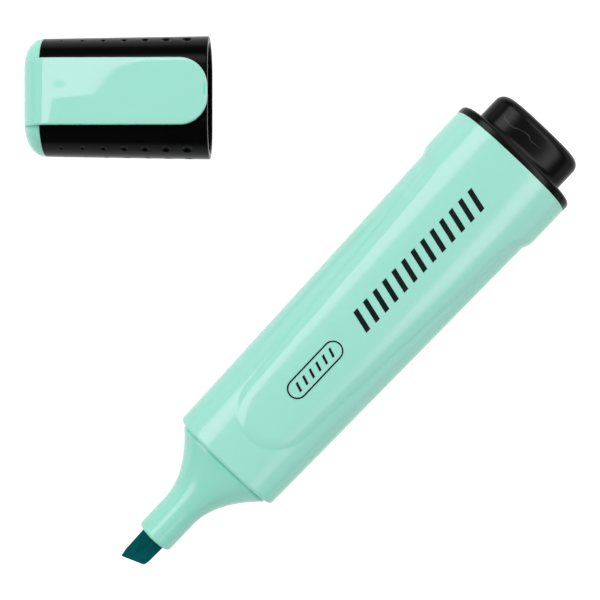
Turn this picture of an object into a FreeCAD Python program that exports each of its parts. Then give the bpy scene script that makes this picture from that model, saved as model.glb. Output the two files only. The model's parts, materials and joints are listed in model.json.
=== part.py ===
import FreeCAD, Part
import math
import os

# A flat pocket highlighter with its cap off, lying on its broad face, in millimetres.
# +X runs along the pen from the nib to the end plug, +Z is up out of the broad face,
# and the origin is the centre of the snout's front end, where the nib comes out.
# The cap lies beside the pen. It is drawn in its own frame, with +X from its closed end
# to its mouth, and then turned and put in its place.

# Snout and nose, the tapered front that the cap closes over.
SNOUT_RADIUS = 3.7
SNOUT_LENGTH = 6.7
LIP_HALF_WIDTH = 10.15
LIP_HALF_HEIGHT = 6.2
LIP_LENGTH = 0.7
FLARE_POWER = 1.95
FLARE_STEPS = 6
LIP_SQUARENESS = 2.7
NOSE_WALL = 1.0
SLOT_LENGTH = 10.2

# Barrel: its front face, its straight taper and the wider collar at its rear.
BARREL_FRONT = 19.6
BARREL_REAR = 96.4
FRONT_HALF_WIDTH = 11.5
TAPER_HALF_WIDTH = 12.7
BARREL_HALF_HEIGHT = 7.6
BARREL_WALL = 1.3
COLLAR_START = 85.55
COLLAR_END = 90.05
COLLAR_RISE = 0.72
COLLAR_STEPS = 5
EDGE_BREAK = 0.45

# Raised tongue on both broad faces, with a half-round front end.
TONGUE_START = 26.3
TONGUE_HALF_WIDTH = 7.15
TONGUE_SLOPE = 0.0713
TONGUE_RISE = 0.35

# Ribs inside the barrel that hold the reservoir on the axis.
RIB_THICKNESS = 1.0
RIB_START = 24.0
RIB_END = 84.0

# Chisel nib.
NIB_TIP = -6.5
NIB_HEEL = -4.8
NIB_REAR = 24.0
NIB_HALF_WIDTH = 2.45
NIB_TIP_HALF_WIDTH = 2.3
NIB_THICKNESS = 3.3
NIB_CORNER = 0.35
NIB_GAP = 0.04

# Fibre reservoir and the film wrapped round it.
RESERVOIR_RADIUS = 5.4
RESERVOIR_START = 21.5
RESERVOIR_END = 86.0
WRAP_GAP = 0.03
WRAP_THICKNESS = 0.3
RIB_GAP = 0.07

# End plug: a flange flush with the collar, a block behind it and a spigot in the barrel.
FLANGE_END = 98.1
FLANGE_ROUNDING = 0.8
BLOCK_END = 105.0
BLOCK_HALF_WIDTH = 9.9
BLOCK_HALF_HEIGHT = 5.4
BLOCK_ROUNDING = 1.8
SPIGOT_LENGTH = 8.0
SPIGOT_WALL = 1.2
SPIGOT_GAP = 0.05
STOP_RADIUS = 3.2
STOP_WALL = 1.0
STOP_GAP = 0.2

# Cap, in its own frame.
CAP_LENGTH = 34.15
CAP_END_LENGTH = 3.45
CAP_END_ROUNDING = 2.9
CAP_END_INSET = 4.2
CAP_CLOSED_HALF_WIDTH = 10.91
CAP_MOUTH_HALF_WIDTH = 11.46
CAP_CLOSED_HALF_HEIGHT = 7.2
CAP_MOUTH_HALF_HEIGHT = 7.7
CAP_WALL = 1.25
CAP_SPIGOT_END = 9.0

# Rows of round dimples on the cap's narrow sides, growing towards the mouth.
DIMPLE_COUNT = 7
DIMPLE_FIRST = 7.05
DIMPLE_PITCH = 3.86
DIMPLE_SMALLEST = 0.3
DIMPLE_LARGEST = 0.9
DIMPLE_DEPTH_SHARE = 0.35
DIMPLE_ROW_ANGLES = (-37, 0, 37)

# Sealing liner inside the cap, which closes on the snout.
LINER_START = 3.55
LINER_END = 20.5
LINER_BORE = 3.76
LINER_WALL = 0.9
LINER_GAP = 0.05

# Pocket clip over the cap's upper broad face.
CLIP_HALF_WIDTH = 6.08
CLIP_END = 34.2
CLIP_THICKNESS = 1.3
CLIP_GAP = 0.7
CLIP_CORNER = 5.0
CLIP_ROOT_START = 1.1

# Where the cap lies: its turn about +Z in degrees, and the middle of its length.
CAP_TURN = -46.56
CAP_MIDDLE = (55.04, 61.34)

# The rounded narrow sides are half-ellipses, this deep compared with the half height.
SIDE_DEPTH_SHARE = 0.82
OVERSHOOT = 1.0

Vector = FreeCAD.Vector


def mix(low, high, share):
    """The value a share of the way from low to high."""
    return low + (high - low) * share


def smooth_step(share):
    """A share from 0 to 1 that starts and ends level."""
    inside = min(max(share, 0.0), 1.0)
    return inside * inside * (3.0 - 2.0 * inside)


def side_round_wire(x, half_width, half_height):
    """A flat-topped outline with half-elliptical narrow sides, in the plane at x."""
    depth = half_height * SIDE_DEPTH_SHARE
    flat = half_width - depth
    edges = []
    for side in (1, -1):
        ellipse = Part.Ellipse(
            Vector(x, side * flat, side * half_height),
            Vector(x, side * half_width, 0),
            Vector(x, side * flat, 0),
        )
        edges.append(Part.ArcOfEllipse(ellipse, 0, math.pi).toShape())
        level = -side * half_height
        start = Vector(x, side * flat, level)
        end = Vector(x, -side * flat, level)
        edges.append(Part.LineSegment(start, end).toShape())
    return Part.Wire(edges)


def straight_loft(wires):
    """A solid with straight walls between neighbouring outlines."""
    return Part.makeLoft(wires, True, True)


def rounded_block(start, end, half_width, half_height, rounding, reach, steps=4):
    """A flat-topped block whose far edge rounds in by reach over the rounding's length."""
    wires = [side_round_wire(start, half_width, half_height)]
    for step in range(steps + 1):
        angle = math.pi / 2 * step / steps
        inset = reach * (1 - math.cos(angle))
        x = end - rounding + rounding * math.sin(angle)
        wires.append(side_round_wire(x, half_width - inset, half_height - inset))
    return straight_loft(wires)


def along_x_cylinder(radius, start, end):
    return Part.makeCylinder(radius, end - start, Vector(start, 0, 0), Vector(1, 0, 0))


def box_between(low, high):
    size = [top - bottom for bottom, top in zip(low, high)]
    return Part.makeBox(size[0], size[1], size[2], Vector(low[0], low[1], low[2]))


# ---------------------------------------------------------------- barrel and nose


def barrel_half_sizes(x):
    """Half width and half height of the barrel's outside at x."""
    share = (x - BARREL_FRONT) / (COLLAR_START - BARREL_FRONT)
    rise = COLLAR_RISE * smooth_step((x - COLLAR_START) / (COLLAR_END - COLLAR_START))
    half_width = mix(FRONT_HALF_WIDTH, TAPER_HALF_WIDTH, min(share, 1.0)) + rise
    return half_width, BARREL_HALF_HEIGHT + rise


def straight_half_sizes(x, extra):
    """Half sizes of the barrel's straight taper at x, with no collar, grown by extra."""
    share = (x - BARREL_FRONT) / (COLLAR_START - BARREL_FRONT)
    half_width = mix(FRONT_HALF_WIDTH, TAPER_HALF_WIDTH, share)
    return half_width + extra, BARREL_HALF_HEIGHT + extra


def straight_body(start, end, extra):
    """The barrel's straight taper between two places, grown by extra."""
    wires = [side_round_wire(x, *straight_half_sizes(x, extra)) for x in (start, end)]
    return straight_loft(wires)


def barrel_skin():
    """The barrel's outside as a solid, with its front edge broken."""
    half_width, half_height = barrel_half_sizes(BARREL_FRONT)
    wires = [side_round_wire(BARREL_FRONT, half_width - EDGE_BREAK, half_height - EDGE_BREAK)]
    stations = [BARREL_FRONT + EDGE_BREAK]
    for step in range(COLLAR_STEPS + 1):
        stations.append(mix(COLLAR_START, COLLAR_END, step / COLLAR_STEPS))
    stations.append(BARREL_REAR)
    for x in stations:
        wires.append(side_round_wire(x, *barrel_half_sizes(x)))
    return straight_loft(wires)


def tongue_prism():
    """An upright prism over the raised tongue, which widens towards the rear."""
    centre = TONGUE_START + TONGUE_HALF_WIDTH
    length = BARREL_REAR - centre
    rear_half_width = TONGUE_HALF_WIDTH + TONGUE_SLOPE * length
    floor = -3 * BARREL_HALF_HEIGHT
    left = Vector(centre, TONGUE_HALF_WIDTH, floor)
    right = Vector(centre, -TONGUE_HALF_WIDTH, floor)
    rear_left = Vector(BARREL_REAR, rear_half_width, floor)
    rear_right = Vector(BARREL_REAR, -rear_half_width, floor)
    edges = [
        Part.Arc(left, Vector(TONGUE_START, 0, floor), right).toShape(),
        Part.LineSegment(right, rear_right).toShape(),
        Part.LineSegment(rear_right, rear_left).toShape(),
        Part.LineSegment(rear_left, left).toShape(),
    ]
    return Part.Face(Part.Wire(edges)).extrude(Vector(0, 0, -2 * floor))


def flare_wire(share, inset):
    """The nose's outline from the round snout, share 0, to the lip, share 1."""
    growth = share**FLARE_POWER
    half_width = mix(SNOUT_RADIUS, LIP_HALF_WIDTH, growth) - inset
    half_height = mix(SNOUT_RADIUS, LIP_HALF_HEIGHT, growth) - inset
    x = mix(SNOUT_LENGTH, BARREL_FRONT - LIP_LENGTH, share)
    if share == 0:
        return Part.Wire(Part.makeCircle(half_width, Vector(x, 0, 0), Vector(1, 0, 0)))
    squareness = mix(2.0, LIP_SQUARENESS, growth)
    points = []
    around = 32
    for step in range(around):
        angle = 2 * math.pi * step / around
        across = abs(math.cos(angle)) ** (2 / squareness)
        upward = abs(math.sin(angle)) ** (2 / squareness)
        y = math.copysign(across * half_width, math.cos(angle))
        z = math.copysign(upward * half_height, math.sin(angle))
        points.append(Vector(x, y, z))
    curve = Part.BSplineCurve()
    curve.interpolate(points, PeriodicFlag=True)
    return Part.Wire(curve.toShape())


def flare(inset, tail):
    """The nose from the snout to its lip, with a straight tail behind the lip."""
    wires = [flare_wire(step / FLARE_STEPS, inset) for step in range(FLARE_STEPS + 1)]
    cone = Part.makeLoft(wires, True, False)
    lip = Part.Face(wires[-1]).extrude(Vector(tail, 0, 0))
    return cone.fuse(lip)


def nib_slot():
    """The slot that grips the nib, through the snout."""
    half_width = NIB_HALF_WIDTH + NIB_GAP
    half_height = NIB_THICKNESS / 2 + NIB_GAP
    low = (-OVERSHOOT, -half_width, -half_height)
    high = (SLOT_LENGTH, half_width, half_height)
    return box_between(low, high)


def reservoir_ribs():
    """Four ribs from inside the barrel's walls to just short of the wrapped reservoir."""
    hold = RESERVOIR_RADIUS + WRAP_GAP + WRAP_THICKNESS + RIB_GAP
    half = RIB_THICKNESS / 2
    across = box_between((RIB_START, -BARREL_REAR, -half), (RIB_END, BARREL_REAR, half))
    upright = box_between((RIB_START, -half, -BARREL_REAR), (RIB_END, half, BARREL_REAR))
    middle_of_wall = straight_body(BARREL_FRONT, BARREL_REAR, -BARREL_WALL / 2)
    cross = across.fuse(upright).common(middle_of_wall)
    return cross.cut(along_x_cylinder(hold, RIB_START - OVERSHOOT, RIB_END + OVERSHOOT)).Solids


def make_barrel():
    """The barrel with its nose, open at the rear for the reservoir and the plug."""
    tongue = straight_body(BARREL_FRONT, BARREL_REAR, TONGUE_RISE).common(tongue_prism())
    shell = barrel_skin().fuse(tongue)
    cavity_start = BARREL_FRONT + BARREL_WALL
    shell = shell.cut(straight_body(cavity_start, BARREL_REAR + OVERSHOOT, -BARREL_WALL))
    tail = LIP_LENGTH + BARREL_WALL / 2
    snout = along_x_cylinder(SNOUT_RADIUS, 0, SNOUT_LENGTH)
    shell = shell.fuse([flare(0.0, tail), snout] + reservoir_ribs())
    shell = shell.cut([flare(NOSE_WALL, LIP_LENGTH + BARREL_WALL + OVERSHOOT), nib_slot()])
    return shell.removeSplitter()


# ---------------------------------------------------------------- inside the barrel


def make_nib():
    """A bar of felt with a slanted front edge and a square tail in the reservoir."""
    half = NIB_THICKNESS / 2
    outline = [
        Vector(NIB_TIP, NIB_TIP_HALF_WIDTH, -half),
        Vector(0, NIB_HALF_WIDTH, -half),
        Vector(NIB_REAR, NIB_HALF_WIDTH, -half),
        Vector(NIB_REAR, -NIB_HALF_WIDTH, -half),
        Vector(0, -NIB_HALF_WIDTH, -half),
        Vector(NIB_HEEL, -NIB_TIP_HALF_WIDTH, -half),
    ]
    outline.append(outline[0])
    bar = Part.Face(Part.makePolygon(outline)).extrude(Vector(0, 0, NIB_THICKNESS))
    long_edges = []
    for edge in bar.Edges:
        box = edge.BoundBox
        if box.ZLength < NIB_CORNER and box.XLength > -NIB_HEEL / 2:
            long_edges.append(edge)
    return bar.makeFillet(NIB_CORNER, long_edges)


def make_reservoir():
    """A round rod of fibre with a pocket where the nib's tail pushes in."""
    rod = along_x_cylinder(RESERVOIR_RADIUS, RESERVOIR_START, RESERVOIR_END)
    half_width = NIB_HALF_WIDTH + NIB_GAP
    half_height = NIB_THICKNESS / 2 + NIB_GAP
    low = (RESERVOIR_START - OVERSHOOT, -half_width, -half_height)
    high = (NIB_REAR + NIB_GAP, half_width, half_height)
    return rod.cut(box_between(low, high))


def make_wrap():
    """The film sleeve round the reservoir."""
    inner = RESERVOIR_RADIUS + WRAP_GAP
    outside = along_x_cylinder(inner + WRAP_THICKNESS, RESERVOIR_START, RESERVOIR_END)
    start = RESERVOIR_START - OVERSHOOT
    return outside.cut(along_x_cylinder(inner, start, RESERVOIR_END + OVERSHOOT))


def make_end_plug():
    """The black plug: flange, block, hollow spigot and the stop behind the reservoir."""
    flange_size = barrel_half_sizes(BARREL_REAR)
    flange = rounded_block(BARREL_REAR, FLANGE_END, *flange_size, FLANGE_ROUNDING, FLANGE_ROUNDING)
    block_size = (BLOCK_HALF_WIDTH, BLOCK_HALF_HEIGHT)
    block = rounded_block(FLANGE_END, BLOCK_END, *block_size, BLOCK_ROUNDING, BLOCK_ROUNDING)
    start = BARREL_REAR - SPIGOT_LENGTH
    outside = -BARREL_WALL - SPIGOT_GAP
    spigot = straight_body(start, BARREL_REAR, outside)
    spigot = spigot.cut(straight_body(start - OVERSHOOT, BARREL_REAR, outside - SPIGOT_WALL))
    stop = along_x_cylinder(STOP_RADIUS, RESERVOIR_END + STOP_GAP, BARREL_REAR)
    stop = stop.cut(along_x_cylinder(STOP_RADIUS - STOP_WALL, RESERVOIR_END, BARREL_REAR))
    return flange.fuse([block, spigot, stop]).removeSplitter()


# ---------------------------------------------------------------- cap, in its own frame


def cap_half_sizes(x):
    """Half width and half height of the cap's outside at x from its closed end."""
    share = x / CAP_LENGTH
    half_width = mix(CAP_CLOSED_HALF_WIDTH, CAP_MOUTH_HALF_WIDTH, share)
    half_height = mix(CAP_CLOSED_HALF_HEIGHT, CAP_MOUTH_HALF_HEIGHT, share)
    return half_width, half_height


def cap_body(start, end, inset):
    """The cap's tapered outside between two places, shrunk by inset."""
    wires = []
    for x in (start, end):
        half_width, half_height = cap_half_sizes(x)
        wires.append(side_round_wire(x, half_width - inset, half_height - inset))
    return straight_loft(wires)


def dimple_balls():
    """Balls that cut the rows of dimples into both narrow sides."""
    balls = []
    for column in range(DIMPLE_COUNT):
        x = DIMPLE_FIRST + DIMPLE_PITCH * column
        rim = mix(DIMPLE_SMALLEST, DIMPLE_LARGEST, column / (DIMPLE_COUNT - 1))
        depth = DIMPLE_DEPTH_SHARE * rim
        radius = (rim * rim + depth * depth) / (2 * depth)
        half_width, half_height = cap_half_sizes(x)
        side_depth = half_height * SIDE_DEPTH_SHARE
        for side in (1, -1):
            for row_angle in DIMPLE_ROW_ANGLES:
                angle = math.radians(row_angle)
                foot = Vector(
                    x,
                    side * (half_width - side_depth + side_depth * math.cos(angle)),
                    half_height * math.sin(angle),
                )
                outward = Vector(0, side * math.cos(angle) / side_depth, math.sin(angle) / half_height)
                outward.normalize()
                balls.append(Part.makeSphere(radius, foot + outward * (radius - depth)))
    return balls


def make_cap_shell():
    """The black sleeve, open at both ends, with dimples on its narrow sides."""
    sleeve = cap_body(CAP_END_LENGTH, CAP_LENGTH, 0.0)
    hollow = cap_body(CAP_END_LENGTH - OVERSHOOT, CAP_LENGTH + OVERSHOOT, CAP_WALL)
    return sleeve.cut([hollow] + dimple_balls())


def clip_top(x):
    """Height of the clip's upper face above the cap's axis."""
    return cap_half_sizes(x)[1] + CLIP_GAP + CLIP_THICKNESS


def clip_prism(start, end, floor):
    """A slab under the clip's sloping upper face, across the clip's width."""
    profile = [
        Vector(start, -CLIP_HALF_WIDTH, floor),
        Vector(end, -CLIP_HALF_WIDTH, floor),
        Vector(end, -CLIP_HALF_WIDTH, clip_top(end)),
        Vector(start, -CLIP_HALF_WIDTH, clip_top(start)),
    ]
    profile.append(profile[0])
    return Part.Face(Part.makePolygon(profile)).extrude(Vector(0, 2 * CLIP_HALF_WIDTH, 0))


def make_cap_end():
    """The closed end with the clip's root, the spigot in the sleeve and the liner's socket."""
    size = cap_half_sizes(CAP_END_LENGTH)
    button = rounded_block(0, CAP_END_LENGTH, *size, CAP_END_ROUNDING, CAP_END_INSET)
    button = button.mirror(Vector(CAP_END_LENGTH / 2, 0, 0), Vector(1, 0, 0))
    root = clip_prism(CLIP_ROOT_START, CAP_END_LENGTH, 0.0)
    back_edges = []
    for edge in root.Edges:
        box = edge.BoundBox
        if box.XMax < CLIP_ROOT_START + SPIGOT_GAP and box.ZMin > size[1]:
            back_edges.append(edge)
    root = root.makeFillet(CLIP_THICKNESS, back_edges)
    spigot = cap_body(CAP_END_LENGTH, CAP_SPIGOT_END, CAP_WALL + SPIGOT_GAP)
    hollow = cap_body(CAP_END_LENGTH, CAP_SPIGOT_END + OVERSHOOT, CAP_WALL + SPIGOT_GAP + SPIGOT_WALL)
    socket_bore = LINER_BORE + LINER_WALL + LINER_GAP
    socket = along_x_cylinder(socket_bore + STOP_WALL, CAP_END_LENGTH, CAP_SPIGOT_END)
    bore = along_x_cylinder(socket_bore, CAP_END_LENGTH, CAP_SPIGOT_END + OVERSHOOT)
    return button.fuse([root, spigot.cut(hollow), socket.cut(bore)]).removeSplitter()


def make_liner():
    """The sealing liner: a cup whose bore closes on the snout."""
    cup = along_x_cylinder(LINER_BORE + LINER_WALL, LINER_START, LINER_END)
    return cup.cut(along_x_cylinder(LINER_BORE, LINER_START + LINER_WALL, LINER_END + OVERSHOOT))


def make_clip():
    """The springy tongue over the sleeve, with a rounded free end."""
    root_floor = clip_top(CAP_END_LENGTH) - CLIP_THICKNESS
    end_floor = clip_top(CLIP_END) - CLIP_THICKNESS
    profile = [
        Vector(CAP_END_LENGTH, -CLIP_HALF_WIDTH, root_floor),
        Vector(CLIP_END, -CLIP_HALF_WIDTH, end_floor),
        Vector(CLIP_END, -CLIP_HALF_WIDTH, end_floor + CLIP_THICKNESS),
        Vector(CAP_END_LENGTH, -CLIP_HALF_WIDTH, root_floor + CLIP_THICKNESS),
    ]
    profile.append(profile[0])
    slab = Part.Face(Part.makePolygon(profile)).extrude(Vector(0, 2 * CLIP_HALF_WIDTH, 0))
    corner_edges = []
    for edge in slab.Edges:
        box = edge.BoundBox
        if box.XMin > CLIP_END - SPIGOT_GAP and box.YLength < SPIGOT_GAP:
            corner_edges.append(edge)
    return slab.makeFillet(CLIP_CORNER, corner_edges)


def put_cap_in_place(shape):
    """Turn a cap piece and lay it beside the pen, level with the pen's underside."""
    turn = math.radians(CAP_TURN)
    back = CAP_LENGTH / 2
    floor = barrel_half_sizes(BARREL_REAR)[1]
    place = Vector(
        CAP_MIDDLE[0] - back * math.cos(turn),
        CAP_MIDDLE[1] - back * math.sin(turn),
        CAP_MOUTH_HALF_HEIGHT - floor,
    )
    placed = shape.copy()
    placed.rotate(Vector(0, 0, 0), Vector(0, 0, 1), CAP_TURN)
    placed.translate(place)
    return placed


def build():
    pieces = {
        "barrel": make_barrel(),
        "nib": make_nib(),
        "ink_reservoir": make_reservoir(),
        "reservoir_wrap": make_wrap(),
        "end_plug": make_end_plug(),
        "cap_shell": put_cap_in_place(make_cap_shell()),
        "cap_end": put_cap_in_place(make_cap_end()),
        "cap_liner": put_cap_in_place(make_liner()),
        "pocket_clip": put_cap_in_place(make_clip()),
    }
    os.makedirs("parts", exist_ok=True)
    for name, shape in pieces.items():
        shape.exportStep("parts/" + name + ".step")


build()
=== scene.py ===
import json
import math

import bmesh
import bpy
import numpy as np
from mathutils import Matrix, Vector


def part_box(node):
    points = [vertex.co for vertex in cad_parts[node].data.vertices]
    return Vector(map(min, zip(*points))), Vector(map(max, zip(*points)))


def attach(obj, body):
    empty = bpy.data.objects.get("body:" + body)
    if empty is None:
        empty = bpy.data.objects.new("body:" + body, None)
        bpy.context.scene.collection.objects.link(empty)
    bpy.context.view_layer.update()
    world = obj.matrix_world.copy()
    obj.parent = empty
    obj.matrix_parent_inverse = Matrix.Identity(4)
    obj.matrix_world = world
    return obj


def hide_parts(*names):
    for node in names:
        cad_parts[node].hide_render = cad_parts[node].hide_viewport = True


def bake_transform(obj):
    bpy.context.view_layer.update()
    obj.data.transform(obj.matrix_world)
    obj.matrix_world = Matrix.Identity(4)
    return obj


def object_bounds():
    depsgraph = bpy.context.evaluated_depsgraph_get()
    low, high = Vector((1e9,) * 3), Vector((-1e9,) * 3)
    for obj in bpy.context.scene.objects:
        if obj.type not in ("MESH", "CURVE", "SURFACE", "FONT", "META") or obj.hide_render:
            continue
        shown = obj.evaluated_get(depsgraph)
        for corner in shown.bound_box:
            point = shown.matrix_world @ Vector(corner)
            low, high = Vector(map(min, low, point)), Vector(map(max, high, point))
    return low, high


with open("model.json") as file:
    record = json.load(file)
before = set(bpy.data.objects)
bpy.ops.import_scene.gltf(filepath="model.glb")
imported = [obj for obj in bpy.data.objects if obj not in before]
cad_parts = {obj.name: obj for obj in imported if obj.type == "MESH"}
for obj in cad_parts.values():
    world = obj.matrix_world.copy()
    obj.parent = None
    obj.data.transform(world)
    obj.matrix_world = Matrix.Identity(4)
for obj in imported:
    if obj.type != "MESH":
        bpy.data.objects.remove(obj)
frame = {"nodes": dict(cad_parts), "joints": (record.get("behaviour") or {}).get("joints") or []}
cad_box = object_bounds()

# The highlighter's looks, drawn in millimetres around the CAD frame and turned into metres
# when a mesh is made. The pen runs along +X from the snout's front end at the origin. Cap pieces
# are drawn along their own +X, from the closed end to the mouth, and laid in place by cap_place.
MM = 0.001


def box_mm(node):
    """A CAD node's lowest and highest corners in millimetres."""
    low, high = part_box(node)
    return low / MM, high / MM


barrel_high = box_mm("barrel")[1]
plug_high = box_mm("end_plug")[1]
nib_low, nib_high = box_mm("nib")
joint_of = {joint["name"]: joint for joint in frame["joints"]}

# Barrel and nose. Lengths run back from the snout's front end.
BARREL_REAR = barrel_high.x
COLLAR_HALF_WIDTH = barrel_high.y
COLLAR_HALF_HEIGHT = barrel_high.z
COLLAR_RISE = 0.72
COLLAR_START = BARREL_REAR - 10.85
COLLAR_END = BARREL_REAR - 6.35
BARREL_FRONT = 19.6
FRONT_HALF_WIDTH = 11.5
TAPER_HALF_WIDTH = COLLAR_HALF_WIDTH - COLLAR_RISE
BARREL_HALF_HEIGHT = COLLAR_HALF_HEIGHT - COLLAR_RISE
BARREL_WALL = 1.3
FRONT_CORNER = 0.6
EDGE_BREAK = 0.12
REAR_EDGE_LENGTH = 0.35
LIP_HALF_WIDTH = 10.15
LIP_HALF_HEIGHT = 6.2
LIP_LENGTH = 0.7
LIP_EDGE = 0.08
STEP_SHARES = (0.35, 0.7, 0.92)
LIP_SQUARENESS = 2.7
FLARE_POWER = 1.95
NOSE_WALL = 1.0
SNOUT_RADIUS = 3.7
SNOUT_LENGTH = 6.7
SNOUT_ROUNDING = 0.6
SNOUT_LINE_AT = 2.1
SNOUT_LINE_HALF = 0.12
SNOUT_LINE_DEPTH = 0.06

# Outlines: how square the crowned ones are, and how deep the sides of the flat-topped ones are
# compared with their half height.
BODY_SQUARENESS = 2.8
SIDE_DEPTH_SHARE = 0.82

# How finely meshes are drawn: gaps between rings, points round a ring, and steps over a curve.
BARREL_RING_GAP = 0.3
SNOUT_RING_GAP = 0.12
CAP_RING_GAP = 0.15
RING_MARGIN = 0.05
BARREL_AROUND = 300
PLUG_AROUND = 150
CAP_AROUND = 420
BUTTON_AROUND = 200
SOCKET_AROUND = 120
FLARE_STEPS = 48
FLARE_FIRST_STEP = 0.3
INNER_FLARE_STEPS = 12
NIB_SLANT_STEPS = 40
CLIP_END_STEPS = 30

# Raised tongue on both broad faces.
TONGUE_START = 26.3
TONGUE_RADIUS = 7.15
TONGUE_SLOPE = 0.0713
TONGUE_RISE = 0.35
TONGUE_RISE_POWER = 1.5
TONGUE_SHOULDER = 2.5
TONGUE_FLARE = 4.0
TONGUE_FLARE_LENGTH = 9.0

# Nib.
NIB_TIP = nib_low.x
NIB_SLANT = 1.75
NIB_HALF_WIDTH = 2.45
NIB_TIP_HALF_WIDTH = 2.3
NIB_HALF_THICKNESS = 1.65
NIB_EDGE = 0.22
NIB_KNOCK = 0.16
NIB_KNOCK_LENGTH = 1.1
NIB_REAR = nib_high.x
NIB_CORNER = 0.32
NIB_SLANT_END = 0.6
NIB_STRAIGHT_FROM = 1.5
SLOT_GAP = 0.04
SLOT_CHAMFER = 0.12
SLOT_SQUARENESS = 9.0
SLOT_PLACES = (2.5, 5.0, 7.4)

# End plug.
BLOCK_END = plug_high.x
FLANGE_END = BARREL_REAR + 1.7
FLANGE_ROUNDING = 0.8
FLANGE_CHAMFER = 0.10
BLOCK_HALF_WIDTH = 9.9
BLOCK_HALF_HEIGHT = 5.4
BLOCK_ROUNDING = 1.9
BLOCK_FACE_INSETS = (4.32, 2.5)
BLOCK_SIDE_FROM = 0.15
BLOCK_FILLET = 0.35
BLOCK_FILLET_FROM = 0.85
SPIGOT_LENGTH = 8.0
SPIGOT_WALL = 1.2
SPIGOT_CHAMFER = 0.3
STOP_RADIUS = 3.2
STOP_WALL = 1.0
STOP_START = 86.2
PLUG_GAP = 0.05
SCRATCH_LOW = 99.6
SCRATCH_HIGH = 102.8
SCRATCH_MIDDLE = 2.5
SCRATCH_PATCH = (6.0, 5.0)
OVAL_CORE = 0.7
SCRATCH_CORE = 0.03
SCRATCH_EDGE = 0.12

# Cap, in its own frame.
CAP_LENGTH = 34.15
CAP_END_LENGTH = 3.45
CAP_END_ROUNDING = 3.1
CAP_END_INSET = 4.2
CAP_END_CHAMFER = 0.06
CAP_END_FACE_INSETS = (5.8, 4.8)
CAP_END_BACK_INSET = 3.0
CAP_END_MARGIN = 0.25
MOUTH_MARGIN = 0.35
CAP_INSIDE_START = 0.6
CAP_CLOSED_HALF_WIDTH = 10.91
CAP_MOUTH_HALF_WIDTH = 11.46
CAP_CLOSED_HALF_HEIGHT = 7.2
CAP_MOUTH_HALF_HEIGHT = 7.7
CAP_WALL = 1.25
MOUTH_ROUNDING = 0.28
MOUTH_CHAMFER = 0.25
CAP_SPIGOT_END = 9.0
DIMPLE_COUNT = 7
DIMPLE_FIRST = 7.05
DIMPLE_PITCH = 3.86
DIMPLE_SMALLEST = 0.3
DIMPLE_LARGEST = 0.9
DIMPLE_DEPTH_SHARE = 0.5
DIMPLE_ROW_ANGLES = (-37, 0, 37)
LINER_OUTSIDE = 4.66
SOCKET_GAP = 0.05
SOCKET_WALL = 1.0

# Pocket clip. Its root bends down over a quarter ellipse, and its upper face is a shade crowned
# and falls a little towards one edge.
CLIP_HALF_WIDTH = 6.08
CLIP_END = 34.2
CLIP_THICKNESS = 1.3
CLIP_CROWN = 0.027
CLIP_CROWN_POWER = 8
CLIP_FALL = 0.026
CLIP_FALL_FROM = 0.9
CLIP_FALL_SOFTNESS = 0.25
CLIP_GAP = 0.7
CLIP_CORNER = 5.0
CLIP_EDGE = 0.35
CLIP_LAST_SHARE = 0.9
CLIP_LAST_RISE = 0.6
CLIP_TIP_GAP = 0.002
CLIP_ROOT_START = 0.3
CLIP_BEND_END = 5.65
CLIP_BEND_LENGTH = 5.6
CLIP_BEND_DROP = 6.1
CLIP_BEND_FIRST = 0.03
CLIP_BAR_GAP = 0.5
CLIP_ROOT_FLOOR = -3.0
CLIP_ROOT_CHAMFER = 0.3
CLIP_FLOOR_START = 2.4
CLIP_FLOOR_LENGTH = 1.2
ROOT_FOOT = 4.6

# Moulding marks on the clip, drawn only as ovals of painted shade: x, y, half length and half width of
# each oval.
SINK_MARK = (7.4, 1.2, 1.35, 0.8)
GATE_MARK = (33.75, 0.35, 0.2, 1.3)

# How deep the painted shade is at each place, as a tint towards the deeper green, from 0 to 1.
FOOT_SHADE = 0.16
SIDE_SHADE = 0.30
NOSE_SHADE = 0.20
END_SHADE = 0.20
NOTCH_SHADE = 0.55
SINK_SHADE = 0.45
GATE_SHADE = 0.70

# How far each painted shade reaches, in millimetres, or in shares of the taper's half width for the
# sides and of a mark's size for the marks.
STEP_REACH = 0.42
LINE_REACH = 0.22
FOOT_FADE = 12.0
SIDE_FADE = 45.0
END_FADE = 0.5
SIDE_SHARE_START = 0.55
SIDE_SHARE_LENGTH = 0.3
BROAD_FACE_FROM = 2.0
MARK_EDGE = 1.15
MARK_SOFTNESS = 0.5

# Printing on the tongue: an outlined capsule with short strokes, and a row of slanted bars.
PRINT_HEIGHT = 0.02
CAPSULE_START = 37.0
CAPSULE_END = 50.2
CAPSULE_HALF_WIDTH = 1.9
CAPSULE_LINE = 0.28
STROKE_COUNT = 6
STROKE_MARGIN = 2.3
STROKE_HALF_LENGTH = 0.24
STROKE_HALF_HEIGHT = 0.85
STROKE_LEAN = 0.3
BAR_COUNT = 13
BARS_START = 54.8
BARS_END = 87.0
BAR_MARGIN = 1.1
BAR_HALF_LENGTH = 0.52
BAR_HALF_HEIGHT = 2.15
BAR_LEAN = 0.55

# Camera: straight above the pen's middle, with the pen running up to the right.
VIEW_TURN = math.radians(-46.56)
VIEW_CENTRE = (50.9, 10.69)
VIEW_DISTANCE = 260.0
VIEW_WIDTH = 112.15
SENSOR = 36.0

# Studio, with lengths in metres.
ROOM_LIGHT = 0.155
LIGHT_DISTANCE = 1.0
FLOOR_REACH = 3.0
FLOOR_GLOW = 0.8
FLOOR_GLOW_SEEN = 0.94

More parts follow.
